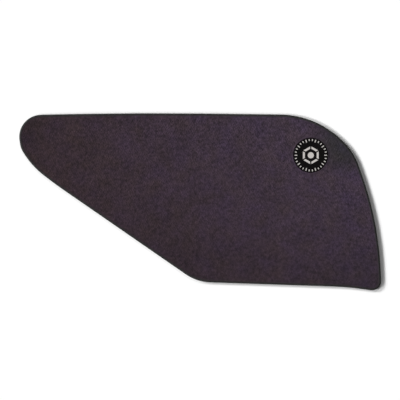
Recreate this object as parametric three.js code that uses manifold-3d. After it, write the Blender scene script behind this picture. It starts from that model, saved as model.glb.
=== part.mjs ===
// Grip pad for one side of a motorcycle fuel tank: one moulded rubber sheet with a rounded rim, and a round
// metal badge bonded into a shallow seat near the tail. Millimetres, +Z up. The pad lies on its flat back,
// with the origin under the middle of its outline, the nose towards -X and the crown towards +Y.

import * as THREE from "three";
import { mergeVertices } from "three/addons/utils/BufferGeometryUtils.js";
import Module from "manifold-3d";

// The sheet
const PAD_LENGTH = 210;
const PAD_HEIGHT = 102.7;
const PAD_THICKNESS = 2;
const RIM_WIDTH = 1.1; // how far the rounded rim reaches in from the edge
const RIM_DROP = 0.8; // how far it falls below the face

// The guide polygon of the outline, counter-clockwise. Each corner is measured from the nose or the tail,
// and from the crown or the foot, and is rounded off with its own radius.
const NOSE_TOP = { fromNose: -2, belowCrown: 1.1, radius: 12.8 };
const NOSE_TIP = { fromNose: 0.9, belowCrown: 20.3, radius: 12.8 };
const CHIN = { fromNose: 7.5, belowCrown: 30.8, radius: 50 };
const BELLY = { fromNose: 21.5, belowCrown: 41.5, radius: 220 };
const HEEL = { fromTail: 107, aboveFoot: 4.9, radius: 27.2 };
const SKIRT = { fromTail: 17.9, aboveFoot: 1.9, radius: 169 };
const TAIL_FOOT = { fromTail: -0.2, aboveFoot: -0.9, radius: 5.2 };
const TAIL = { fromTail: 1.1, aboveFoot: 38.9, radius: 193 };
const SHOULDER_LOW = { fromTail: 16, belowCrown: 21.8, radius: 36.7 };
const SHOULDER_HIGH = { fromTail: 39.1, belowCrown: 0.9, radius: 50.5 };
const CROWN = { fromNose: 68.9, belowCrown: -0.3, radius: 2260 };

// The badge: a thin bright plate, printed black except where its marks show the metal
const BADGE = { fromTail: 40.8, belowCrown: 24.3 };
const BADGE_RADIUS = 10;
const PLATE_THICKNESS = 0.4;
const PRINT_THICKNESS = 0.1;
const SEAT_CLEARANCE = 0.2; // all round, between the badge and the wall of its seat

// The ring of short marks round the badge
const TICK_COUNT = 30;
const TICK_MARGIN = 0.6; // from the outer ends of the marks to the badge's edge
const TICK_WIDTH = 0.55;
const TICK_LENGTH = 1.1;
const LONG_TICK_LENGTH = 1.6;
const TICKS_PER_LONG_TICK = 3;

// The mark in its middle: six bars, the sides of a hexagon, around a dot
const HEX_SIDES = 6;
const HEX_INRADIUS = 3.4;
const HEX_BAR_WIDTH = 1.2;
const HEX_CORNER_GAP = 0.8;
const DOT_RADIUS = 1.8;

// How finely round shapes are faceted
const ARC_STEP = THREE.MathUtils.degToRad(2);
const DISC_STEPS = 96;
const RIM_STEPS = 6;

// The roundings at the two ends of a side of the guide polygon take at most this share of it.
const MOST_OF_SIDE = 0.98;

const CUT_MARGIN = 1; // how far a cutter reaches past what it cuts

const wasm = await Module();
wasm.setup();

const rubber = new THREE.MeshStandardMaterial({ color: 0x372b36, roughness: 0.85, metalness: 0 });
const brightMetal = new THREE.MeshStandardMaterial({ color: 0xc6c1bd, roughness: 0.35, metalness: 0.6 });
const blackInk = new THREE.MeshStandardMaterial({ color: 0x131111, roughness: 0.45, metalness: 0 });

// A corner of the guide polygon as a point of the sketch, whose origin is level with the nose and the foot.
function sketchPoint({ fromNose, fromTail, aboveFoot, belowCrown }) {
  return new THREE.Vector2(fromNose ?? PAD_LENGTH - fromTail, aboveFoot ?? PAD_HEIGHT - belowCrown);
}

// By how much the guide polygon turns at a point, positive to the left.
function turnAt(before, point, after) {
  const coming = point.clone().sub(before);
  const going = after.clone().sub(point);
  return Math.atan2(coming.cross(going), coming.dot(going));
}

// The arc that rounds off a corner, from a distance of reach before its point to as far behind it.
function cornerArc(before, point, turn, reach) {
  const radius = reach / Math.tan(Math.abs(turn) / 2);
  const coming = point.clone().sub(before).normalize();
  const side = Math.sign(turn);
  const toCentre = new THREE.Vector2(-coming.y, coming.x).multiplyScalar(side * radius);
  const centre = point.clone().addScaledVector(coming, -reach).add(toCentre);
  const first = toCentre.negate().angle();
  const steps = Math.max(2, Math.ceil(Math.abs(turn) / ARC_STEP));
  const arc = new THREE.EllipseCurve(centre.x, centre.y, radius, radius, first, first + turn, side < 0);
  return arc.getPoints(steps);
}

// The outline of the sheet: every corner of the guide polygon rounded off, in order.
function padOutline() {
  const corners = [
    NOSE_TOP,
    NOSE_TIP,
    CHIN,
    BELLY,
    HEEL,
    SKIRT,
    TAIL_FOOT,
    TAIL,
    SHOULDER_LOW,
    SHOULDER_HIGH,
    CROWN,
  ];
  const next = (i) => (i + 1) % corners.length;
  const points = corners.map(sketchPoint);
  const turns = points.map((point, i) => turnAt(points.at(i - 1), point, points[next(i)]));
  const reaches = corners.map(({ radius }, i) => radius * Math.tan(Math.abs(turns[i]) / 2));
  const sideShares = points.map((point, i) => {
    const room = MOST_OF_SIDE * point.distanceTo(points[next(i)]);
    return Math.min(1, room / (reaches[i] + reaches[next(i)]));
  });
  return points.flatMap((point, i) => {
    const reach = reaches[i] * Math.min(sideShares.at(i - 1), sideShares[i]);
    return cornerArc(points.at(i - 1), point, turns[i], reach);
  });
}

// A circle about the origin as a shape.
function circleShape(radius) {
  return new THREE.Shape().absarc(0, 0, radius, 0, 2 * Math.PI);
}

// A flat sheet of the given shape, from z = 0 up.
function flatSheet(shape, thickness) {
  const curveSegments = DISC_STEPS / 2; // a full circle takes twice as many
  return new THREE.ExtrudeGeometry(shape, { depth: thickness, bevelEnabled: false, curveSegments });
}

// A three.js geometry as a manifold-3d solid.
function toSolid(geometry) {
  const bare = geometry.clone();
  bare.deleteAttribute("normal");
  bare.deleteAttribute("uv");
  const merged = mergeVertices(bare);
  return new wasm.Manifold(
    new wasm.Mesh({
      numProp: 3,
      vertProperties: merged.getAttribute("position").array,
      triVerts: new Uint32Array(merged.index.array),
    }),
  );
}

// A manifold-3d solid as a three.js geometry.
function toGeometry(solid) {
  const mesh = solid.getMesh();
  const geometry = new THREE.BufferGeometry();
  geometry.setAttribute("position", new THREE.BufferAttribute(mesh.vertProperties, 3));
  geometry.setIndex(new THREE.BufferAttribute(mesh.triVerts, 1));
  geometry.computeVertexNormals();
  return geometry;
}

// The moulding: the outline extruded with a rounded rim, cut flat at the back, with the badge's seat in its
// face.
function padGeometry(outline, extent) {
  const rounded = new THREE.ExtrudeGeometry(new THREE.Shape(outline), {
    depth: PAD_THICKNESS - RIM_DROP,
    bevelEnabled: true,
    bevelThickness: RIM_DROP,
    bevelSize: RIM_WIDTH,
    bevelOffset: -RIM_WIDTH,
    bevelSegments: RIM_STEPS,
  });
  const size = extent.getSize(new THREE.Vector2()).addScalar(2 * CUT_MARGIN);
  const middle = extent.getCenter(new THREE.Vector2());
  const underside = new THREE.BoxGeometry(size.x, size.y, RIM_DROP + CUT_MARGIN);
  underside.translate(middle.x, middle.y, -(RIM_DROP + CUT_MARGIN) / 2);
  const seat = flatSheet(circleShape(BADGE_RADIUS + SEAT_CLEARANCE), seatDepth + CUT_MARGIN);
  seat.translate(badgePlace.x, badgePlace.y, PAD_THICKNESS - seatDepth);
  return toGeometry(toSolid(rounded).subtract(toSolid(underside)).subtract(toSolid(seat)));
}

// A window in the print: its corners are given on the +X side of the badge and turned about its centre.
function turnedWindow(corners, angle) {
  const middle = new THREE.Vector2();
  return new THREE.Path(corners.map(([x, y]) => new THREE.Vector2(x, y).rotateAround(middle, angle)));
}

// The window of one mark of the ring.
function tickWindow(index) {
  const outer = BADGE_RADIUS - TICK_MARGIN;
  const inner = outer - (index % TICKS_PER_LONG_TICK === 0 ? LONG_TICK_LENGTH : TICK_LENGTH);
  const half = TICK_WIDTH / 2;
  const corners = [
    [inner, -half],
    [outer, -half],
    [outer, half],
    [inner, half],
  ];
  return turnedWindow(corners, (index * 2 * Math.PI) / TICK_COUNT);
}

// The window of one side of the hexagon, mitred towards its neighbours.
function hexBarWindow(index) {
  const outer = HEX_INRADIUS + HEX_BAR_WIDTH;
  const slope = Math.tan(Math.PI / HEX_SIDES);
  const innerHalf = HEX_INRADIUS * slope - HEX_CORNER_GAP / 2;
  const outerHalf = outer * slope - HEX_CORNER_GAP / 2;
  const corners = [
    [HEX_INRADIUS, -innerHalf],
    [outer, -outerHalf],
    [outer, outerHalf],
    [HEX_INRADIUS, innerHalf],
  ];
  return turnedWindow(corners, (index * 2 * Math.PI) / HEX_SIDES);
}

// The black print: a disc with a window for each mark.
function printGeometry() {
  const disc = circleShape(BADGE_RADIUS);
  const ring = Array.from({ length: TICK_COUNT }, (_, i) => tickWindow(i));
  const hexagon = Array.from({ length: HEX_SIDES }, (_, i) => hexBarWindow(i));
  disc.holes.push(...ring, ...hexagon, circleShape(DOT_RADIUS));
  return flatSheet(disc, PRINT_THICKNESS);
}

function namedMesh(name, geometry, material) {
  const mesh = new THREE.Mesh(geometry, material);
  mesh.name = name;
  return mesh;
}

// The badge's face is flush with the face of the sheet, so its seat is as deep as its two layers.
const seatDepth = PLATE_THICKNESS + PRINT_THICKNESS;
const badgePlace = sketchPoint(BADGE);
const outline = padOutline();
const extent = new THREE.Box2().setFromPoints(outline);

const pad = namedMesh("pad", padGeometry(outline, extent), rubber);
const plateGeometry = flatSheet(circleShape(BADGE_RADIUS), PLATE_THICKNESS);
const badgePlate = namedMesh("badge_plate", plateGeometry, brightMetal);
const badgePrint = namedMesh("badge_print", printGeometry(), blackInk);
badgePrint.position.z = PLATE_THICKNESS;

const badge = new THREE.Group();
badge.position.set(badgePlace.x, badgePlace.y, PAD_THICKNESS - seatDepth);
badge.add(badgePlate, badgePrint);

// The sketch is moved so that the middle of the outline stands at the origin.
const centre = extent.getCenter(new THREE.Vector2());
const gripPad = new THREE.Group();
gripPad.position.set(-centre.x, -centre.y, 0);
gripPad.add(pad, badge);

export default gripPad;
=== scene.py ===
"""Looks of a motorcycle tank grip: one flat moulded rubber sheet with a round printed metal badge.

The CAD frame gives the sheet's outline, its rim, the badge and the badge's seat. This file adds the moulding
with its raised border, the pips of its gripping face, the finishes, and the studio that it is shown in.
"""

import bpy
import numpy as np
from bpy.props import FloatProperty, FloatVectorProperty, IntProperty, PointerProperty
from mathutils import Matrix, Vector


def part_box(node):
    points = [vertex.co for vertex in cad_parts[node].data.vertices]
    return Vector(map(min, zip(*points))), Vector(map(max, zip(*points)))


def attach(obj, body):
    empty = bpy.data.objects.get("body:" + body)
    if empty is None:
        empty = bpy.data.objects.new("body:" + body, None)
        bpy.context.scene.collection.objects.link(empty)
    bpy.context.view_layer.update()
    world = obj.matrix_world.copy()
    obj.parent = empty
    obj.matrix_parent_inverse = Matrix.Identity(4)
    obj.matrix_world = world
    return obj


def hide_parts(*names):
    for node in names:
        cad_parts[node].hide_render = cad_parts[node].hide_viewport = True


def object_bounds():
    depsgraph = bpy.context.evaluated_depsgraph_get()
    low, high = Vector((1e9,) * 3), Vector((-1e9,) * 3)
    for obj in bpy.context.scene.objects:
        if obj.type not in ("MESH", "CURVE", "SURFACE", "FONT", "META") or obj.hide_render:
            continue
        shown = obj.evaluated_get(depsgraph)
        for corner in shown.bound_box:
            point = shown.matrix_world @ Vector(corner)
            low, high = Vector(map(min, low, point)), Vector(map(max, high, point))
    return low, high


bl_info = {
    "name": "Tank Grip Pad",
    "version": (1, 0, 0),
    "blender": (4, 5, 0),
    "location": "3D View > Sidebar > Tank Grip",
    "description": "Dresses the CAD frame of a tank grip: moulded sheet, grained face, badge and studio",
    "category": "Add Mesh",
}

# Lengths are in metres
MM = 0.001
HAIR = 0.001 * MM  # points closer together than this are one point

# How finely the moulding is divided
OUTLINE_STEPS = 900
ROUNDING_STEPS = 10
SLOPE_STEPS = 5
GROUND_STEPS = 24
SOFTENING_PASSES = 2
HOLD = 0.05 * MM  # a flat stretch beside each slope, which keeps its shading off the flat beyond
SEAT_RINGS = [0.3, 0.6, 0.9, 1]  # radius of each ring of the seat's floor, as a share of the floor's
BACK_RINGS = [0.3, 0.6, 0.85]  # how far each ring of the back is on the way to its middle

# The form of one pip: a base ring sunk in the ground, two rings on the way up, and a top
PIP_SIDES = 8
PIP_REACH = np.array([1.0, 0.86, 0.52])  # radius of each ring, as a share of the base's
PIP_RISE = np.array([0.5, 0.88])  # height of each raised ring, as a share of the pip's
PIP_SINK = 0.05 * MM
PLAIN_SHADE_TONE = -0.5  # tone of the moulding, painted darker than the mean pip as shade on the ground between the pips, where the darkest pips have -1 and the lightest have 1

WHITE = (1.0, 1.0, 1.0, 1.0)
BLACK = (0.0, 0.0, 0.0, 1.0)

# The fine grain of the rubber and of the print
CELL_SMOOTHNESS = 0.4
FINE_DETAIL = 3.0  # of the finest noises
HOLLOW_RANGE = (-0.2, 0.4)  # heights at which the grain counts as all hollow, and as not hollow at all

# The rubber's surface
RUBBER_GRAIN_SIZE = 0.35 * MM
RUBBER_GRAIN_DEPTH = 0.05 * MM
RUBBER_ROUGHNESS = (0.9, 0.6)  # in the hollows of the grained face, and on the peaks of the smooth rim
RUBBER_GLOSS = 0.15
GRAIN_PAINTED_SHADING = (1.05, 0.9)  # painted light on the peaks of the fine grain, and painted shade in its hollows, as lightness
RIM_SMOOTHING = 0.8  # how much of the fine grain's height the smooth rim loses

# The badge's metal
SCRATCH_LENGTH = 30.0  # of the brushing, as a multiple of its width
SCRATCH_WIDTH = 0.05 * MM
SCRATCH_DEPTH = 0.005 * MM
RUB_SIZE = 4 * MM  # of the patches that are rubbed brighter
RUB_RANGE = (0.1, 0.4)  # scratches times patches, where the metal is all dull, and where it is all rubbed
DULL_SHARE = 0.78  # brightness of the dull metal, as a share of the rubbed metal's
METAL_ROUGHNESS = (0.42, 0.3)  # where it is dull, and where it is rubbed

# The badge's print
INK_GRAIN_SIZE = 0.25 * MM
INK_GRAIN_DEPTH = 0.004 * MM
INK_ROUGHNESS = (0.38, 0.5)  # on the peaks of the fine grain, and in its hollows
INK_GLOSS = 0.04

BADGE_BUMP = 0.3  # strength of the height of scratches and print, beside the rubber's 1

# The rubber's colour: random mottle and tint, and painted shade along both edges
MOTTLE = ((18 * MM, 0.55), (6 * MM, 0.12), (2.6 * MM, 0.45), (1.4 * MM, 1.95))  # sizes and strengths
DRIFT_SIZE = 10 * MM  # of the patches that lean towards brown or violet
DRIFT_RANGE = (0.3, 0.7)  # noise at which a patch is all brown, and all violet
BROWN_TINT = (1.0, 0.98, 0.78, 1.0)
VIOLET_TINT = (0.96, 0.93, 0.98, 1.0)
MIDDLE_PAINTED_LIGHT = 1.04  # lightness down the middle, between the top edge and the foot, where the painted shade is least
EDGE_PAINTED_SHADE = 0.42  # how much lightness the painted shade takes away with the square of the distance from the middle
SMOOTH_MOTTLE = 0.7  # how far the smooth rubber of the rim and the back strays from its colour, as a share
SMOOTH_MOTTLE_SIZE = 3 * MM

# The spots of painted shade on the rubber. Each lies at the point of the outline that is furthest in its
# direction, is full up to its core and gone at its reach, and takes its colour from the setting of its name.
PAINTED_SHADE_SPOTS = {
    "nose_shade": {"towards": (-1, 0), "core": 5 * MM, "reach": 20 * MM},
    "shoulder_shade": {"towards": (1, 1), "core": 6 * MM, "reach": 22 * MM},
    "tail_shade": {"towards": (1, -0.3), "core": 5 * MM, "reach": 34 * MM},
}

# The lamps: direction counter-clockwise from +X, height above the horizon, both in degrees, and share of the
# light. The first six act together as one broad window. The floor keeps the last off all but the back.
LAMPS = {
    "studio_lamp_far": {"turn": 92, "rise": 44, "share": 0.11},
    "studio_lamp_far_left": {"turn": 150, "rise": 28, "share": 0.23},
    "studio_lamp_left": {"turn": 161, "rise": 24, "share": 0.21},
    "studio_lamp_near_left": {"turn": 191, "rise": 30.5, "share": 0.34},
    "studio_lamp_near": {"turn": 213, "rise": 37, "share": 0.08},
    "studio_lamp_near_right": {"turn": 240, "rise": 40, "share": 0.03},
    "studio_lamp_under": {"turn": 161, "rise": -50, "share": 1.0},
}

FLOOR_LEVEL = 0.01 * MM  # how far the floor reaches up into the pad, to share no plane with the back
CLIP_FACTOR = 10  # the camera sees from its distance divided by this up to its distance times this

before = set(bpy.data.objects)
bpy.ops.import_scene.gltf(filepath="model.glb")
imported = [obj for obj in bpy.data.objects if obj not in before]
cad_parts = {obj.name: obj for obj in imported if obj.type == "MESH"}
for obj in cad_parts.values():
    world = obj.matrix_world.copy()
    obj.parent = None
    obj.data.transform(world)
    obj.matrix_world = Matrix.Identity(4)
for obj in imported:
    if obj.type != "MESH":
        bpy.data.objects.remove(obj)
cad_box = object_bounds()


def node_points(name):
    """The points of a CAD node as an array with a row for each."""
    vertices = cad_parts[name].data.vertices
    found = np.empty(3 * len(vertices), np.float32)
    vertices.foreach_get("co", found)
    return found.reshape(-1, 3).astype(float)


def level(points, height):
    """The points at one height, seen from above."""
    return points[np.abs(points[:, 2] - height) < HAIR, :2]


# What the frame says about the pad and its badge
PAD_POINTS = node_points("pad")
PLATE_BOX = np.array([list(corner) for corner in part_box("badge_plate")])
BADGE_MIDDLE = PLATE_BOX[:, :2].mean(axis=0)
SEAT_FLOOR = PLATE_BOX[0, 2]
FACE = PAD_POINTS[:, 2].max()
SIDE_HEIGHT = PAD_POINTS[PAD_POINTS[:, 2] > HAIR, 2].min()  # up to where the rim is rounded
SEAT_RADIUS = np.linalg.norm(level(PAD_POINTS, SEAT_FLOOR) - BADGE_MIDDLE, axis=1).mean()
RIM_WIDTH = (np.ptp(level(PAD_POINTS, 0)[:, 0]) - np.ptp(level(PAD_POINTS, FACE)[:, 0])) / 2


def length(name, description, default):
    """A setting that is a length."""
    return FloatProperty(
        name=name,
        description=description,
        default=default,
        min=0,
        precision=5,
        subtype="DISTANCE",
        unit="LENGTH",
    )


def shift(name, description, default):
    """A setting that is a distance either way."""
    return FloatProperty(
        name=name, description=description, default=default, precision=5, subtype="DISTANCE", unit="LENGTH"
    )


def share(name, description, default):
    """A setting between 0 and 1."""
    return FloatProperty(
        name=name, description=description, default=default, min=0, max=1, precision=3, subtype="FACTOR"
    )


def angle(name, description, degrees):
    """A setting that is an angle."""
    return FloatProperty(
        name=name, description=description, default=np.radians(degrees), subtype="ANGLE", unit="ROTATION"
    )


def colour(name, description, default):
    """A setting that is a linear colour."""
    return FloatVectorProperty(
        name=name,
        description=description,
        default=default,
        size=3,
        min=0,
        max=1,
        precision=4,
        subtype="COLOR",
    )


class MouldingSettings(bpy.types.PropertyGroup):
    """Sizes of the moulded sheet that the frame doesn't give."""

    grain_depth: length("Grain Depth", "From the face down to the ground between the pips", 0.095 * MM)
    slope_width: length("Slope Width", "Width of the slopes that lead down to the ground", 0.3 * MM)
    lip_width: length("Lip Width", "Width of the raised lip round the badge", 0.5 * MM)
    lip_rounding: length("Lip Rounding", "Radius of the lip's inner edge", 0.08 * MM)
    foot_rounding: length("Foot Rounding", "Radius of the edge between side and back", 0.12 * MM)
    # The rim's smooth dark rubber is also painted shade along the rounded edge
    dark_width: length("Dark Width", "How far the smooth dark finish of the rim reaches in", 0.9 * MM)
    dark_fade: length("Dark Fade", "Width over which that finish gives way to the grained one", 0.7 * MM)


class GrainSettings(bpy.types.PropertyGroup):
    """The pips of the gripping face."""

    pitch: length("Pitch", "Mean distance between neighbouring pips", 1.4 * MM)
    jitter: share("Jitter", "How far a pip strays from its even place, as a share of the pitch", 0.28)
    least_radius: length("Least Radius", "Radius of the smallest pips", 0.46 * MM)
    most_radius: length("Most Radius", "Radius of the largest pips", 0.68 * MM)
    least_height: length("Least Height", "Height of the lowest pips above the ground", 0.06 * MM)
    most_height: length("Most Height", "Height of the tallest pips above the ground", 0.09 * MM)
    stretch: share("Stretch", "How much longer than round a pip can be", 0.2)
    bare_margin: length("Bare Margin", "Bare ground between the slopes and the first pips", 0.02 * MM)
    seed: IntProperty(name="Seed", description="Picks another scatter of the same kind", default=7, min=0)


class FinishSettings(bpy.types.PropertyGroup):
    """Colours and grain of the finishes, with the rubber's painted light and shade."""

    # The change from the nose colour to the lighter tail colour, and the foot shade, are painted light and
    # shade across the sheet
    nose_colour: colour("Nose Color", "Rubber at the nose", (0.0338, 0.0203, 0.0280))
    tail_colour: colour("Tail Color", "Rubber at the upper end of the tail", (0.0541, 0.0376, 0.0690))
    foot_shade: colour("Foot Shade", "What the rubber is multiplied by along its foot", (0.636, 0.592, 0.533))
    # The nose, shoulder and tail shades are spots of painted shade
    nose_shade: colour("Nose Shade", "What it is multiplied by at the tip of the nose", (0.80, 0.80, 0.86))
    shoulder_shade: colour("Shoulder Shade", "What it is multiplied by at the shoulder", (0.58, 0.75, 0.57))
    tail_shade: colour("Tail Shade", "What it is multiplied by at the end of the tail", (0.86, 0.88, 0.90))
    # On the rounded rim this dark colour is also painted shade along the edge; on the back it is the rubber's
    # own
    rim_colour: colour("Rim Color", "Smooth rubber of the rim and the back", (0.0155, 0.0146, 0.0146))
    pip_contrast: share("Pip Contrast", "How much lighter or darker than the mean a pip can be", 0.12)
    metal_colour: colour("Metal Color", "Bare metal of the badge", (0.565, 0.534, 0.511))
    ink_colour: colour("Ink Color", "Black print of the badge", (0.0065, 0.0057, 0.0053))


class StudioSettings(bpy.types.PropertyGroup):
    """Camera, light and floor."""

    lens: FloatProperty(
        name="Lens", description="Focal length of the camera", default=300, min=1, subtype="DISTANCE_CAMERA"
    )
    view_width: length("View Width", "Width of what the camera shows, at the face of the pad", 232.0 * MM)
    view_right: shift("View Right", "From the pad's middle to the view's, along X", -0.07 * MM)
    view_up: shift("View Up", "From the pad's middle to the view's, along Y", 1.08 * MM)
    lamp_size: angle("Lamp Size", "How large each lamp looks, which softens the shadow", 12)
    lamp_light: share("Lamp Light", "Share of full white that the lamps alone give the floor", 0.955)
    fill_light: share("Fill Light", "Share of full white that the surroundings give the floor", 0.058)
    floor_colour: colour("Floor Color", "Studio floor", (1.0, 1.0, 1.0))
    floor_width: length("Floor Width", "Length of each side of the floor", 6.0)


class TankGripSettings(bpy.types.PropertyGroup):
    """Everything that can be set."""

    moulding: PointerProperty(type=MouldingSettings, name="Moulding", description="Sizes of the moulding")
    grain: PointerProperty(type=GrainSettings, name="Grain", description="The pips of the face")
    finish: PointerProperty(type=FinishSettings, name="Finish", description="Colours and grain")
    studio: PointerProperty(type=StudioSettings, name="Studio", description="Camera, light and floor")


def in_turn(points):
    """The points in the order of their directions from the badge's middle, counter-clockwise."""
    off = points - BADGE_MIDDLE
    return points[np.argsort(np.arctan2(off[:, 1], off[:, 0]))]


def even_steps(corners, count):
    """Points at even steps along a closed polygon. The lengths of its sides are summed up to each corner, and
    each point lies between two corners in proportion to its own length along the polygon."""
    closed = np.vstack([corners, corners[:1]])
    along = np.concatenate([[0], np.cumsum(np.linalg.norm(np.diff(closed, axis=0), axis=1))])
    steps = np.linspace(0, along[-1], count, endpoint=False)
    return np.column_stack([np.interp(steps, along, closed[:, axis]) for axis in (0, 1)])


def softened(points, passes):
    """A closed line with its facets eased: each pass moves every point halfway to the mean of its two
    neighbours."""
    for _ in range(passes):
        points = (np.roll(points, 1, axis=0) + 2 * points + np.roll(points, -1, axis=0)) / 4
    return points


def outward(line):
    """Unit vectors square to a counter-clockwise closed line: its direction from the point before to the
    point after, turned a quarter to the right."""
    along = np.roll(line, -1, axis=0) - np.roll(line, 1, axis=0)
    square = np.column_stack([along[:, 1], -along[:, 0]])
    return square / np.linalg.norm(square, axis=1, keepdims=True)


def pad_outline():
    """The outline of the CAD pad's back at even steps, and its outward directions."""
    line = softened(even_steps(in_turn(level(PAD_POINTS, 0)), OUTLINE_STEPS), SOFTENING_PASSES)
    return line, outward(line)


def quarter_turn():
    """Cosines and sines at even steps of a quarter turn."""
    turn = np.linspace(0, np.pi / 2, ROUNDING_STEPS + 1)
    return np.cos(turn), np.sin(turn)


def eased(t):
    """A smooth rise from 0 to 1: three times t squared less twice t cubed."""
    t = np.clip(t, 0, 1)
    return t * t * (3 - 2 * t)


def seat_profile(sizes):
    """Distance from the badge's middle, and height: the seat's floor and wall, a quarter circle up to the
    lip, the lip level with the face, and an eased slope down to the ground."""
    cos, sin = quarter_turn()
    t = np.linspace(0, 1, SLOPE_STEPS + 1)
    floor = np.outer(SEAT_RINGS, [SEAT_RADIUS, 0]) + [0, SEAT_FLOOR]
    edge = np.array([SEAT_RADIUS, FACE]) + sizes.lip_rounding * np.column_stack([1 - cos, sin - 1])
    crest = SEAT_RADIUS + sizes.lip_width
    slope = np.column_stack([crest + sizes.slope_width * t, FACE - sizes.grain_depth * eased(t)])
    return np.vstack([floor, edge, slope, slope[-1] + [HOLD, 0]])


def rim_profile(sizes):
    """Distance in from the outline, and height: an eased slope up from the ground, a quarter ellipse over the
    rim, the side, and a quarter circle under to the back."""
    cos, sin = quarter_turn()
    t = np.linspace(1, 0, SLOPE_STEPS + 1)
    slope = np.column_stack([RIM_WIDTH + sizes.slope_width * t, FACE - sizes.grain_depth * eased(t)])
    rim = np.column_stack([RIM_WIDTH * (1 - sin), SIDE_HEIGHT + (FACE - SIDE_HEIGHT) * cos])
    foot = sizes.foot_rounding * np.column_stack([1 - cos, 1 - sin])
    return np.vstack([slope[0] + [HOLD, 0], slope, rim[1:], foot, foot[-1] + [HOLD, 0]])


def raised(flat, height):
    """Points seen from above, given a height."""
    return np.dstack([flat, np.broadcast_to(height, flat.shape[:-1])])


def moulding_rings(sizes):
    """Closed rings of points from the seat's floor over the face, the rim and the side to the back, and how
    dark each ring is finished: smooth dark rubber, which on the rounded rim is also painted edge shade. Seat
    rings are circles. Rim rings are the outline moved inwards. The rings of the ground lie in even steps
    between them, and the rings of the back on the way to its middle."""
    line, away = pad_outline()
    seat = seat_profile(sizes)
    rim = rim_profile(sizes)
    towards = line - BADGE_MIDDLE
    towards /= np.linalg.norm(towards, axis=1, keepdims=True)
    seat_rings = raised(BADGE_MIDDLE + seat[:, None, :1] * towards, seat[:, 1:])
    rim_rings = raised(line - rim[:, None, :1] * away, rim[:, 1:])
    outwards = np.linspace(0, 1, GROUND_STEPS + 1)[1:-1, None, None]
    ground_rings = seat_rings[-1] + outwards * (rim_rings[0] - seat_rings[-1])
    inwards = np.array(BACK_RINGS)[:, None, None]
    back_rings = rim_rings[-1] + inwards * (np.append(BADGE_MIDDLE, 0) - rim_rings[-1])
    # how dark each rim ring is: smooth dark rubber, and on the rounded rim also painted edge shade
    rim_dark = eased((sizes.dark_width + sizes.dark_fade - rim[:, 0]) / sizes.dark_fade)
    rim_dark[rim[:, 1] < SIDE_HEIGHT] = 1
    dark = [np.zeros(len(seat_rings) + len(ground_rings)), rim_dark, np.ones(len(back_rings))]
    return np.concatenate([seat_rings, ground_rings, rim_rings, back_rings]), np.concatenate(dark)


def ring_cells(rings, steps):
    """The four corners of each cell between neighbouring closed rings of points, in the order that makes the
    cells face up where the rings grow outwards."""
    ring, step = np.meshgrid(np.arange(rings - 1), np.arange(steps), indexing="ij")
    here = ring * steps + step
    ahead = ring * steps + (step + 1) % steps
    return np.stack([here, here + steps, ahead + steps, ahead], axis=-1).reshape(-1, 4)


def fan(pole, first, steps):
    """Triangles between a pole and the closed ring of points that starts at first, facing up."""
    step = np.arange(steps)
    return np.column_stack([np.full(steps, pole), first + step, first + (step + 1) % steps])


def put(name, data):
    """A new object in the scene. One put there before under this name makes way."""
    before = bpy.data.objects.get(name)
    if before:
        bpy.data.objects.remove(before)
    placed = bpy.data.objects.new(name, data)
    bpy.context.scene.collection.objects.link(placed)
    return placed


def new_piece(name, points, corners, sizes, flat_map=None):
    """A smooth mesh object from its points, the corners of all its faces in one row, and each face's number
    of corners. A flat map gives each point its place on a UV map named OFBake."""
    mesh = bpy.data.meshes.new(name)
    mesh.vertices.add(len(points))
    mesh.vertices.foreach_set("co", points.astype(np.float32).ravel())
    mesh.loops.add(len(corners))
    mesh.loops.foreach_set("vertex_index", corners.astype(np.int32))
    mesh.polygons.add(len(sizes))
    mesh.polygons.foreach_set("loop_start", (np.cumsum(sizes) - sizes).astype(np.int32))
    mesh.update(calc_edges=True)
    mesh.shade_smooth()
    if flat_map is not None:
        layer = mesh.uv_layers.new(name="OFBake")
        layer.uv.foreach_set("vector", flat_map[corners].astype(np.float32).ravel())
    if mesh.validate():
        raise ValueError(f"{name} has faces that Blender had to mend")
    return put(name, mesh)


def give(piece, name, values):
    """Stores one number for each point of the piece."""
    attribute = piece.data.attributes.new(name, "FLOAT", "POINT")
    attribute.data.foreach_set("value", np.asarray(values, np.float32))


def within(points, ring):
    """True for points nearer to the badge's middle than the ring is in the same direction, with the ring's
    distance taken between its two nearest directions in proportion."""
    off = points - BADGE_MIDDLE
    ring_off = ring - BADGE_MIDDLE
    reach = np.interp(
        np.arctan2(off[:, 1], off[:, 0]),
        np.arctan2(ring_off[:, 1], ring_off[:, 0]),
        np.linalg.norm(ring_off, axis=1),
        period=2 * np.pi,
    )
    return np.linalg.norm(off, axis=1) < reach


def pip_places(grain, sizes, draw):
    """Places of a hexagonal pattern over the whole sheet, each moved at random by up to a share of the pitch,
    and kept where a whole pip has room between the border and the lip round the badge."""
    line, away = pad_outline()
    low = line.min(axis=0)
    high = line.max(axis=0)
    row_pitch = grain.pitch * np.sin(np.pi / 3)
    column, row = np.meshgrid(
        np.arange(low[0], high[0], grain.pitch), np.arange(low[1], high[1], row_pitch)
    )
    column[1::2] += grain.pitch / 2
    places = np.column_stack([column.ravel(), row.ravel()])
    places += grain.pitch * grain.jitter * draw.uniform(-1, 1, places.shape)
    room = sizes.slope_width + grain.most_radius + grain.bare_margin
    clear = np.linalg.norm(places - BADGE_MIDDLE, axis=1) > SEAT_RADIUS + sizes.lip_width + room
    return places[clear & within(places, line - away * (RIM_WIDTH + room))]


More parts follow.
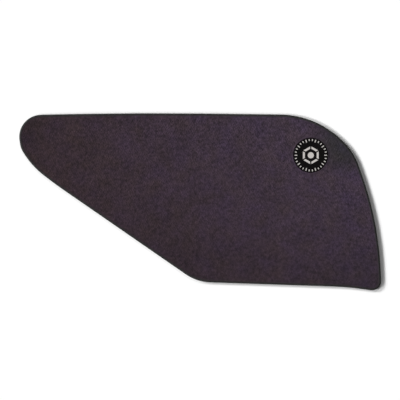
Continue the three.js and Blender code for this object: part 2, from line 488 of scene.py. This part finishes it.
def pip_points(places, grain, ground, draw):
    """Each pip is a low dome: an ellipse sunk in the ground, the same ellipse drawn in and raised twice, and
    a top. Its size, length, turn and height are random."""
    count = len(places)
    radius = draw.uniform(grain.least_radius, grain.most_radius, (count, 1))
    longer = 1 + grain.stretch * draw.uniform(0, 1, (count, 1))
    turn = draw.uniform(0, 2 * np.pi, (count, 1))
    height = draw.uniform(grain.least_height, grain.most_height, (count, 1))
    round_it = np.arange(PIP_SIDES) * 2 * np.pi / PIP_SIDES
    along = radius * np.cos(round_it)
    across = radius / longer * np.sin(round_it)
    right = along * np.cos(turn) - across * np.sin(turn)
    up = along * np.sin(turn) + across * np.cos(turn)
    ring = np.dstack([right, up])
    middle = places[:, None, :]
    reaches = np.repeat(PIP_REACH, PIP_SIDES)[:, None]
    rise = np.hstack([np.full((count, PIP_SIDES), -PIP_SINK), np.repeat(PIP_RISE, PIP_SIDES) * height])
    rings = raised(middle + reaches * np.tile(ring, (1, len(PIP_REACH), 1)), ground + rise)
    return np.concatenate([rings, raised(middle, ground + height)], axis=1)


def pip_faces(count):
    """The corners of the faces of so many pips, and each face's number of corners: for each pip the cells
    between its rings, triangles round its top, and its base, which faces down."""
    rings = len(PIP_REACH)
    cells = ring_cells(rings, PIP_SIDES)[:, ::-1]
    top = fan(rings * PIP_SIDES, (rings - 1) * PIP_SIDES, PIP_SIDES)
    one = np.concatenate([cells.ravel(), top.ravel(), np.arange(PIP_SIDES)[::-1]])
    every = (one + np.arange(count)[:, None] * (rings * PIP_SIDES + 1)).ravel()
    return every, np.tile([4] * len(cells) + [3] * PIP_SIDES + [PIP_SIDES], count)


def add(tree, kind, given=None, **settings):
    """A new node. Each entry of given is a value for a socket, or the output that it is linked from."""
    node = tree.nodes.new(kind)
    node.location.x = node.width * len(tree.nodes)
    for name, value in settings.items():
        setattr(node, name, value)
    for key, value in (given or {}).items():
        if isinstance(value, bpy.types.NodeSocket):
            tree.links.new(value, node.inputs[key])
        else:
            node.inputs[key].default_value = value
    return node


def calculate(tree, operation, a, b):
    """The result of a Math node."""
    return add(tree, "ShaderNodeMath", {0: a, 1: b}, operation=operation).outputs[0]


def remap(tree, value, low, high, new_low, new_high, how="LINEAR"):
    """The value moved from one range to another, and kept inside it."""
    given = {"Value": value, "From Min": low, "From Max": high, "To Min": new_low, "To Max": new_high}
    return add(tree, "ShaderNodeMapRange", given, interpolation_type=how).outputs[0]


def mix(tree, factor, a, b, blend="MIX"):
    """Two colours mixed."""
    given = {0: factor, 6: a, 7: b}
    return add(tree, "ShaderNodeMix", given, data_type="RGBA", blend_type=blend).outputs[2]


def noise(tree, place, size, detail=2.0):
    """Noise whose lumps are about this large."""
    given = {"Vector": place, "Scale": 1 / size, "Detail": detail}
    return add(tree, "ShaderNodeTexNoise", given).outputs[0]


def bumped(tree, height, depth, strength):
    """The normal of a surface with this height, whose full range is this deep."""
    given = {"Strength": strength, "Distance": depth, "Height": height}
    return add(tree, "ShaderNodeBump", given).outputs[0]


def stored(tree, name):
    """The numbers stored on the piece under this name."""
    return add(tree, "ShaderNodeAttribute", attribute_name=name).outputs["Fac"]


def new_group(name, inputs, outputs):
    """An empty node group with these sockets, and its input and output nodes."""
    tree = bpy.data.node_groups.new(name, "ShaderNodeTree")
    for socket, kind in inputs.items():
        tree.interface.new_socket(socket, in_out="INPUT", socket_type=kind)
    for socket, kind in outputs.items():
        tree.interface.new_socket(socket, in_out="OUTPUT", socket_type=kind)
    return tree, tree.nodes.new("NodeGroupInput").outputs, tree.nodes.new("NodeGroupOutput").inputs


def furthest(direction):
    """The point of the pad's outline, on its back, that lies furthest in a direction."""
    line = level(PAD_POINTS, 0)
    return (*line[np.argmax(line @ direction)], 0.0)


def with_painted_shade_spots(tree, plain, place, finish):
    """The plain colour with every spot of painted shade on it. A spot fades with the distance from its
    middle.
    """
    for name, spot in PAINTED_SHADE_SPOTS.items():
        ends = {0: place, 1: furthest(spot["towards"])}
        away = add(tree, "ShaderNodeVectorMath", ends, operation="DISTANCE").outputs["Value"]
        strength = remap(tree, away, spot["core"], spot["reach"], 1.0, 0.0, "SMOOTHSTEP")
        plain = mix(tree, strength, plain, opaque(getattr(finish, name)), "MULTIPLY")
    return plain


def rubber_tone_and_painted_shade(finish):
    """Group: the rubber's colour with painted light and shade. It runs from the nose's colour to the lighter
    tail's and has painted shade towards the foot, in a few spots and along both edges. It drifts between
    brown and violet in patches, and is mottled lighter and darker at four sizes. Lightness shifts it all."""
    kinds = dict.fromkeys(["Nose", "Tail", "Foot Shade"], "NodeSocketColor")
    kinds["Lightness"] = "NodeSocketFloat"
    tree, given, made = new_group("Rubber Tone And Painted Shade", kinds, {"Color": "NodeSocketColor"})
    place = add(tree, "ShaderNodeTexCoord").outputs["Object"]
    split = add(tree, "ShaderNodeSeparateXYZ", {0: place}).outputs
    along = remap(tree, split["X"], cad_box[0].x, cad_box[1].x, 0.0, 1.0)
    down = remap(tree, split["Y"], cad_box[1].y, cad_box[0].y, 0.0, 1.0)
    # painted light and shade: lighter from the nose towards the tail, and darker towards the foot
    base = mix(tree, along, given["Nose"], given["Tail"])
    shaded = mix(tree, down, base, mix(tree, 1.0, base, given["Foot Shade"], "MULTIPLY"))
    # spots of painted shade at the nose, the shoulder and the tail
    shaded = with_painted_shade_spots(tree, shaded, place, finish)
    drift = remap(tree, noise(tree, place, DRIFT_SIZE), *DRIFT_RANGE, 0.0, 1.0)
    tint = mix(tree, drift, BROWN_TINT, VIOLET_TINT)
    tinted = mix(tree, 1.0, shaded, tint, "MULTIPLY")
    # painted shade, growing with the square of the distance from the middle towards the top edge and the foot
    off_middle = calculate(tree, "SUBTRACT", down, 0.5)
    edge_shade = calculate(tree, "MULTIPLY", calculate(tree, "MULTIPLY", off_middle, off_middle), EDGE_PAINTED_SHADE)
    light = calculate(tree, "SUBTRACT", MIDDLE_PAINTED_LIGHT, edge_shade)
    for size, strength in MOTTLE:
        swing = calculate(tree, "SUBTRACT", noise(tree, place, size), 0.5)
        light = calculate(tree, "ADD", light, calculate(tree, "MULTIPLY", swing, strength))
    light = calculate(tree, "MULTIPLY", light, given["Lightness"])
    grey = add(tree, "ShaderNodeCombineXYZ", {0: light, 1: light, 2: light}).outputs[0]
    scaled = add(tree, "ShaderNodeVectorMath", {0: tinted, 1: grey}, operation="MULTIPLY").outputs[0]
    tree.links.new(scaled, made["Color"])
    return tree


def fine_grain():
    """Group: the fine grain of rubber and print, as a height and as a mask of its hollows. Smooth cells are
    taken from noise of the same size. It is built once."""
    found = bpy.data.node_groups.get("Fine Grain")
    if found:
        return found
    masks = dict.fromkeys(["Height", "Hollows"], "NodeSocketFloat")
    tree, given, made = new_group("Fine Grain", {"Size": "NodeSocketFloat"}, masks)
    place = add(tree, "ShaderNodeTexCoord").outputs["Object"]
    scale = calculate(tree, "DIVIDE", 1.0, given["Size"])
    lumps = {"Vector": place, "Scale": scale, "Smoothness": CELL_SMOOTHNESS}
    cells = add(tree, "ShaderNodeTexVoronoi", lumps, feature="SMOOTH_F1").outputs["Distance"]
    specks = {"Vector": place, "Scale": scale, "Detail": FINE_DETAIL}
    dust = add(tree, "ShaderNodeTexNoise", specks).outputs[0]
    height = calculate(tree, "SUBTRACT", dust, cells)
    tree.links.new(height, made["Height"])
    tree.links.new(remap(tree, height, *HOLLOW_RANGE, 1.0, 0.0), made["Hollows"])
    return tree


def brushed_metal():
    """Group: fine straight scratches along X, as a height and as a mask of the rubbed places."""
    masks = dict.fromkeys(["Height", "Rubbed"], "NodeSocketFloat")
    tree, given, made = new_group("Brushed Metal", {"Length": "NodeSocketFloat"}, masks)
    place = add(tree, "ShaderNodeTexCoord").outputs["Object"]
    stretch = add(tree, "ShaderNodeCombineXYZ", {0: given["Length"], 1: 1.0, 2: 1.0}).outputs[0]
    drawn = add(tree, "ShaderNodeVectorMath", {0: place, 1: stretch}, operation="DIVIDE").outputs[0]
    scratches = noise(tree, drawn, SCRATCH_WIDTH, FINE_DETAIL)
    patches = noise(tree, place, RUB_SIZE)
    rubbed = remap(tree, calculate(tree, "MULTIPLY", scratches, patches), *RUB_RANGE, 0.0, 1.0)
    tree.links.new(scratches, made["Height"])
    tree.links.new(rubbed, made["Rubbed"])
    return tree


def opaque(setting):
    """A colour setting as the four numbers of a colour socket."""
    return (*setting, 1.0)


def new_material(name):
    """An empty node material, and its tree."""
    material = bpy.data.materials.new(name)
    material.use_nodes = True
    material.node_tree.nodes.clear()
    return material, material.node_tree


def shade(tree, given):
    """Ends a material with a Principled shader that has these inputs."""
    shader = add(tree, "ShaderNodeBsdfPrincipled", given).outputs[0]
    add(tree, "ShaderNodeOutputMaterial", {"Surface": shader})


def use_group(tree, group, given):
    """A node group put to use in a tree, as its outputs."""
    return add(tree, "ShaderNodeGroup", given, node_tree=group).outputs


def rubber_material(finish):
    """Matt rubber with a fine grain, painted darker in its hollows, and smoother and darker where the piece
    is marked as dark, which on the rounded rim is also painted edge shade. It is built once, for all pieces
    that wear it."""
    found = bpy.data.materials.get("Pad Rubber")
    if found:
        return found
    material, tree = new_material("Pad Rubber")
    dark = stored(tree, "dark")
    lighter = calculate(tree, "MULTIPLY", stored(tree, "tone"), finish.pip_contrast)
    grain = use_group(tree, fine_grain(), {"Size": RUBBER_GRAIN_SIZE})
    # painted shade in the hollows of the fine grain, and painted light on its peaks
    hollow = remap(tree, grain["Hollows"], 0.0, 1.0, *GRAIN_PAINTED_SHADING)
    tones = {
        "Nose": opaque(finish.nose_colour),
        "Tail": opaque(finish.tail_colour),
        "Foot Shade": opaque(finish.foot_shade),
        "Lightness": calculate(tree, "MULTIPLY", calculate(tree, "ADD", lighter, 1.0), hollow),
    }
    tone = use_group(tree, rubber_tone_and_painted_shade(finish), tones)["Color"]
    # the dark rubber of the rim, side and back, which on the rounded rim is also painted edge shade
    rim = np.array(finish.rim_colour)
    ends = [opaque(rim * (1 + stray)) for stray in (-SMOOTH_MOTTLE, SMOOTH_MOTTLE)]
    place = add(tree, "ShaderNodeTexCoord").outputs["Object"]
    mottled = mix(tree, noise(tree, place, SMOOTH_MOTTLE_SIZE), *ends)
    smoothness = calculate(tree, "SUBTRACT", dark, grain["Hollows"])
    strength = calculate(tree, "SUBTRACT", 1.0, calculate(tree, "MULTIPLY", dark, RIM_SMOOTHING))
    given = {
        "Base Color": mix(tree, dark, tone, mottled),
        "Roughness": remap(tree, smoothness, -1.0, 1.0, *RUBBER_ROUGHNESS),
        "Specular IOR Level": RUBBER_GLOSS,
        "Normal": bumped(tree, grain["Height"], RUBBER_GRAIN_DEPTH, strength),
    }
    shade(tree, given)
    return material


def metal_material(finish):
    """Satin brushed metal."""
    material, tree = new_material("Badge Metal")
    brushed = use_group(tree, brushed_metal(), {"Length": SCRATCH_LENGTH})
    rubbed = brushed["Rubbed"]
    bright = opaque(finish.metal_colour)
    dull = opaque(DULL_SHARE * np.array(finish.metal_colour))
    given = {
        "Base Color": mix(tree, rubbed, dull, bright),
        "Metallic": 1.0,
        "Roughness": remap(tree, rubbed, 0.0, 1.0, *METAL_ROUGHNESS),
        "Normal": bumped(tree, brushed["Height"], SCRATCH_DEPTH, BADGE_BUMP),
    }
    shade(tree, given)
    return material


def ink_material(finish):
    """Semi-gloss black print with the faint orange peel of a screen print, painted blacker as shade in the
    hollows of the peel.
    """
    material, tree = new_material("Badge Ink")
    grain = use_group(tree, fine_grain(), {"Size": INK_GRAIN_SIZE})
    given = {
        # painted shade: the print goes to black in the hollows of its fine grain
        "Base Color": mix(tree, grain["Hollows"], opaque(finish.ink_colour), BLACK),
        "Roughness": remap(tree, grain["Hollows"], 0.0, 1.0, *INK_ROUGHNESS),
        "Specular IOR Level": INK_GLOSS,
        "Normal": bumped(tree, grain["Height"], INK_GRAIN_DEPTH, BADGE_BUMP),
    }
    shade(tree, given)
    return material


def wear(piece, material):
    """Gives a piece this material alone."""
    piece.data.materials.clear()
    piece.data.materials.append(material)


class TANKGRIP_OT_make_moulding(bpy.types.Operator):
    """Make the moulded sheet, with its rim, its raised border and the seat of the badge"""

    bl_idname = "tank_grip.make_moulding"
    bl_label = "Make Moulding"
    bl_options = {"REGISTER", "UNDO"}

    def execute(self, context):
        settings = context.scene.tank_grip
        rings, dark = moulding_rings(settings.moulding)
        count, steps = rings.shape[:2]
        middle = np.append(BADGE_MIDDLE, 0)
        poles = np.array([middle + [0, 0, SEAT_FLOOR], middle])
        points = np.vstack([rings.reshape(-1, 3), poles])
        last = (count - 1) * steps
        cells = ring_cells(count, steps)
        fans = np.vstack([fan(count * steps, 0, steps), fan(count * steps + 1, last, steps)[:, ::-1]])
        sizes = np.repeat([4, 3], [len(cells), len(fans)])
        piece = new_piece("pad_moulding", points, np.concatenate([cells.ravel(), fans.ravel()]), sizes)
        give(piece, "dark", np.concatenate([np.repeat(dark, steps), [dark[0], dark[-1]]]))
        # painted shade: the moulding's ground between the pips is darker than the mean pip
        give(piece, "tone", np.full(len(points), PLAIN_SHADE_TONE))
        wear(piece, rubber_material(settings.finish))
        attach(piece, "root")
        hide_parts("pad")
        return {"FINISHED"}


class TANKGRIP_OT_make_grain(bpy.types.Operator):
    """Make the pips of the gripping face, in one piece for each half of the sheet"""

    bl_idname = "tank_grip.make_grain"
    bl_label = "Make Grain"
    bl_options = {"REGISTER", "UNDO"}

    def execute(self, context):
        settings = context.scene.tank_grip
        grain = settings.grain
        draw = np.random.default_rng(grain.seed)
        places = pip_places(grain, settings.moulding, draw)
        places = places[np.argsort(places[:, 0])]
        half = len(places) // 2
        for name, part in (("pad_grain_nose", places[:half]), ("pad_grain_tail", places[half:])):
            points = pip_points(part, grain, FACE - settings.moulding.grain_depth, draw)
            tone = np.repeat(draw.uniform(-1, 1, len(part)), points.shape[1])
            points = points.reshape(-1, 3)
            spread = points[:, :2] - points[:, :2].min(axis=0)
            piece = new_piece(name, points, *pip_faces(len(part)), flat_map=spread / spread.max(axis=0))
            give(piece, "dark", np.zeros(len(points)))
            give(piece, "tone", tone)
            wear(piece, rubber_material(settings.finish))
            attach(piece, "root")
        return {"FINISHED"}


class TANKGRIP_OT_finish_badge(bpy.types.Operator):
    """Give the badge its brushed metal and its black print"""

    bl_idname = "tank_grip.finish_badge"
    bl_label = "Finish Badge"
    bl_options = {"REGISTER", "UNDO"}

    def execute(self, context):
        finish = context.scene.tank_grip.finish
        wear(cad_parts["badge_plate"], metal_material(finish))
        wear(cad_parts["badge_print"], ink_material(finish))
        return {"FINISHED"}


class TANKGRIP_OT_set_stage(bpy.types.Operator):
    """Set the floor, the lamps, the surroundings and the camera"""

    bl_idname = "tank_grip.set_stage"
    bl_label = "Set Stage"
    bl_options = {"REGISTER", "UNDO"}

    def execute(self, context):
        studio = context.scene.tank_grip.studio
        lay_floor(studio)
        hang_lamps(studio)
        light_surroundings(studio)
        place_camera(studio)
        context.scene.view_settings.view_transform = "Standard"
        return {"FINISHED"}


class TANKGRIP_PT_sidebar(bpy.types.Panel):
    """Settings and makers of the tank grip"""

    bl_idname = "TANKGRIP_PT_sidebar"
    bl_label = "Tank Grip"
    bl_space_type = "VIEW_3D"
    bl_region_type = "UI"
    bl_category = "Tank Grip"

    def draw(self, context):
        settings = context.scene.tank_grip
        for operator, group in (
            (TANKGRIP_OT_make_moulding, settings.moulding),
            (TANKGRIP_OT_make_grain, settings.grain),
            (TANKGRIP_OT_finish_badge, settings.finish),
            (TANKGRIP_OT_set_stage, settings.studio),
        ):
            box = self.layout.box()
            for name in group.__annotations__:
                box.prop(group, name)
            box.operator(operator.bl_idname)


def lay_floor(studio):
    """A square floor under the pad, matt and plain."""
    square = np.array([[-1, -1], [1, -1], [1, 1], [-1, 1]]) * studio.floor_width / 2
    corners = np.column_stack([square, np.full(len(square), FLOOR_LEVEL)])
    floor = new_piece("studio_floor", corners, np.arange(len(square)), np.array([len(square)]))
    material, tree = new_material("Studio Floor")
    shade(tree, {"Base Color": opaque(studio.floor_colour), "Roughness": 1.0, "Specular IOR Level": 0.0})
    wear(floor, material)


def hang_lamps(studio):
    """Soft sun lamps. On a level face the light of a lamp counts for the sine of its height."""
    for name, place in LAMPS.items():
        turn, rise = np.radians([place["turn"], place["rise"]])
        lamp = bpy.data.lights.new(name, "SUN")
        lamp.angle = studio.lamp_size
        lamp.energy = studio.lamp_light * place["share"] * np.pi / abs(np.sin(rise))
        towards = Vector((np.cos(turn) * np.cos(rise), np.sin(turn) * np.cos(rise), np.sin(rise)))
        holder = put(name, lamp)
        holder.location = towards
        holder.rotation_euler = towards.to_track_quat("Z", "Y").to_euler()


def light_surroundings(studio):
    """White surroundings for the camera, for gloss and for glass, which light everything else only softly."""
    world = bpy.data.worlds.new("Studio")
    world.use_nodes = True
    tree = world.node_tree
    tree.nodes.clear()
    path = add(tree, "ShaderNodeLightPath").outputs
    seen = calculate(tree, "MAXIMUM", path["Is Camera Ray"], path["Is Glossy Ray"])
    seen = calculate(tree, "MAXIMUM", seen, path["Is Transmission Ray"])
    strength = remap(tree, seen, 0.0, 1.0, studio.fill_light, 1.0)
    light = add(tree, "ShaderNodeBackground", {"Color": WHITE, "Strength": strength}).outputs[0]
    add(tree, "ShaderNodeOutputWorld", {"Surface": light})
    bpy.context.scene.world = world


def place_camera(studio):
    """A long lens straight above the pad, as far away as makes its view as wide as asked."""
    camera = bpy.data.cameras.new("Studio Camera")
    camera.lens = studio.lens
    distance = studio.view_width * camera.lens / camera.sensor_width
    camera.clip_start = distance / CLIP_FACTOR
    camera.clip_end = distance * CLIP_FACTOR
    holder = put("studio_camera", camera)
    holder.location = (studio.view_right, studio.view_up, FACE + distance)
    bpy.context.scene.camera = holder


CLASSES = (
    MouldingSettings,
    GrainSettings,
    FinishSettings,
    StudioSettings,
    TankGripSettings,
    TANKGRIP_OT_make_moulding,
    TANKGRIP_OT_make_grain,
    TANKGRIP_OT_finish_badge,
    TANKGRIP_OT_set_stage,
    TANKGRIP_PT_sidebar,
)


def register():
    """Makes the settings, the operators and the panel known to Blender."""
    for each in CLASSES:
        bpy.utils.register_class(each)
    bpy.types.Scene.tank_grip = PointerProperty(type=TankGripSettings)


def unregister():
    """Takes them away again."""
    del bpy.types.Scene.tank_grip
    for each in reversed(CLASSES):
        bpy.utils.unregister_class(each)


def main():
    """Makes every piece."""
    register()
    bpy.ops.tank_grip.make_moulding()
    bpy.ops.tank_grip.make_grain()
    bpy.ops.tank_grip.finish_badge()
    bpy.ops.tank_grip.set_stage()


if __name__ == "__main__":
    main()
